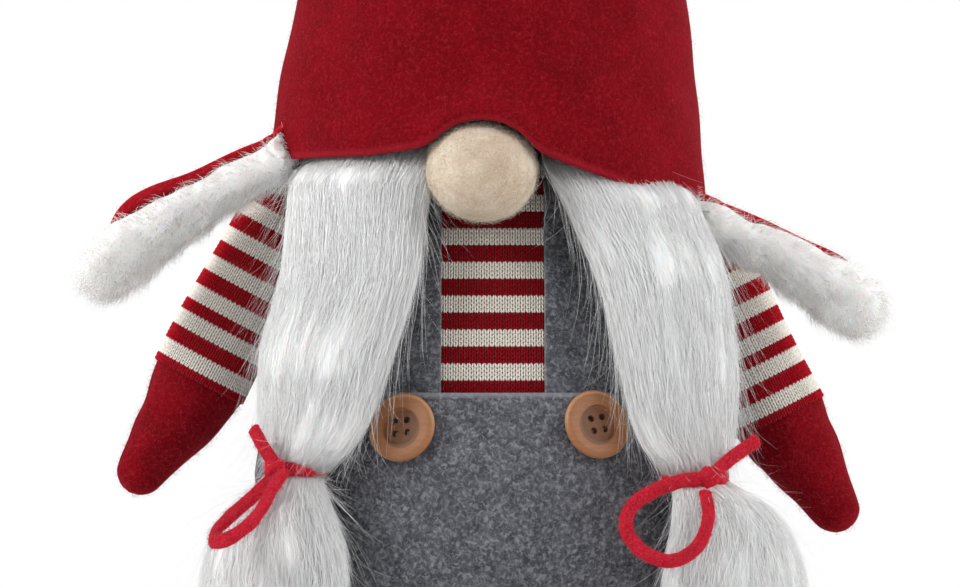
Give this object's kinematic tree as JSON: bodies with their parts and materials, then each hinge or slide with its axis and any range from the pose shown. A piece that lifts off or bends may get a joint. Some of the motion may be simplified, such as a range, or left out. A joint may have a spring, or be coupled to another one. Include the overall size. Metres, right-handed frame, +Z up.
{
  "type": "tomte gnome figurine",
  "caption": "Standing fabric tomte with a tall red felt hat, plush ear flaps, ball nose, tied white fur pigtails, striped sweater and grey felt dungarees.",
  "frame": {"origin": "on the floor, on the trunk's vertical axis, midway between the two feet", "axes": "+Z up, the face looks along -Y, +X towards the viewer's right when facing the figure"},
  "size_m": [0.2951, 0.1999, 0.6],
  "materials": {
    "stuffing": "soft white fibre",
    "pellets": "matt",
    "striped_knit": "fine stocking-stitch knit, off-white and red stripes",
    "grey_felt": "brushed heather-grey wool felt",
    "button_wood": "smooth oiled wood",
    "glue": "clear set glue",
    "nose_wool": "needle-felted wool",
    "thread": "waxed thread",
    "long_fur": "long straight faux fur",
    "plush": "short dense plush",
    "red_felt": "brushed red wool felt",
    "sole_felt": "pressed dark grey felt",
    "tie_cord": "bright red felted cord",
    "hat_wire": "bare wire"
  },
  "bodies": {
    "torso": {"body_fill": "stuffing", "pellet_bag": "pellets", "sweater": "striped_knit", "dungarees": "grey_felt", "strap_front_left": "grey_felt", "strap_front_right": "grey_felt", "strap_back_left": "grey_felt", "strap_back_right": "grey_felt", "button_left": "button_wood", "button_right": "button_wood", "button_glue": "glue", "nose": "nose_wool", "hair_root_left": "long_fur", "hair_root_right": "long_fur", "shoulder_thread_left": "thread", "shoulder_thread_right": "thread", "trouser_leg_left": "grey_felt", "trouser_leg_right": "grey_felt", "leg_fill_left": "stuffing", "leg_fill_right": "stuffing", "boot_left": "red_felt", "boot_right": "red_felt", "sole_left": "sole_felt", "sole_right": "sole_felt", "hat_crown": "red_felt", "hat_fill": "stuffing", "hat_wire_lower": "hat_wire"},
    "hat_tip": {"hat_point": "red_felt", "hat_point_fill": "stuffing", "hat_wire_upper": "hat_wire"},
    "flap_left": {"earflap_felt_left": "red_felt", "earflap_fur_left": "plush"},
    "flap_right": {"earflap_felt_right": "red_felt", "earflap_fur_right": "plush"},
    "arm_left": {"sleeve_left": "striped_knit", "mitt_left": "red_felt", "arm_fill_left": "stuffing"},
    "arm_right": {"sleeve_right": "striped_knit", "mitt_right": "red_felt", "arm_fill_right": "stuffing"},
    "hair_left": {"pigtail_left": "long_fur", "puff_left": "long_fur", "tie_band_left": "tie_cord", "tie_knot_left": "tie_cord", "tie_left": "tie_cord"},
    "hair_right": {"pigtail_right": "long_fur", "puff_right": "long_fur", "tie_band_right": "tie_cord", "tie_knot_right": "tie_cord", "tie_right": "tie_cord"}
  },
  "joints": [
    {"name": "hat_tip_bend", "type": "hinge", "parent": "torso", "child": "hat_tip", "pos_m": [0, 0, 0.47], "axis": [0, 1, 0], "range_deg": [-35, 35]},
    {"name": "flap_left_lift", "type": "hinge", "parent": "torso", "child": "flap_left", "pos_m": [-0.0785, -0.022, 0.269], "axis": [0, 1, 0], "range_deg": [-5, 45]},
    {"name": "flap_right_lift", "type": "hinge", "parent": "torso", "child": "flap_right", "pos_m": [0.0785, -0.022, 0.247], "axis": [0, -1, 0], "range_deg": [-5, 45]},
    {"name": "arm_left_swing", "type": "hinge", "parent": "torso", "child": "arm_left", "pos_m": [-0.074, 0.012, 0.248], "axis": [-1, 0, 0], "range_deg": [-25, 20]},
    {"name": "arm_right_swing", "type": "hinge", "parent": "torso", "child": "arm_right", "pos_m": [0.074, 0.012, 0.236], "axis": [-1, 0, 0], "range_deg": [-25, 20]},
    {"name": "pigtail_left_lift", "type": "hinge", "parent": "torso", "child": "hair_left", "pos_m": [-0.0399, -0.0421, 0.262], "axis": [-0.7254, 0.6884, 0], "range_deg": [0, 30]},
    {"name": "pigtail_right_lift", "type": "hinge", "parent": "torso", "child": "hair_right", "pos_m": [0.0424, -0.0396, 0.254], "axis": [-0.682, -0.7314, 0], "range_deg": [0, 30]}
  ]
}
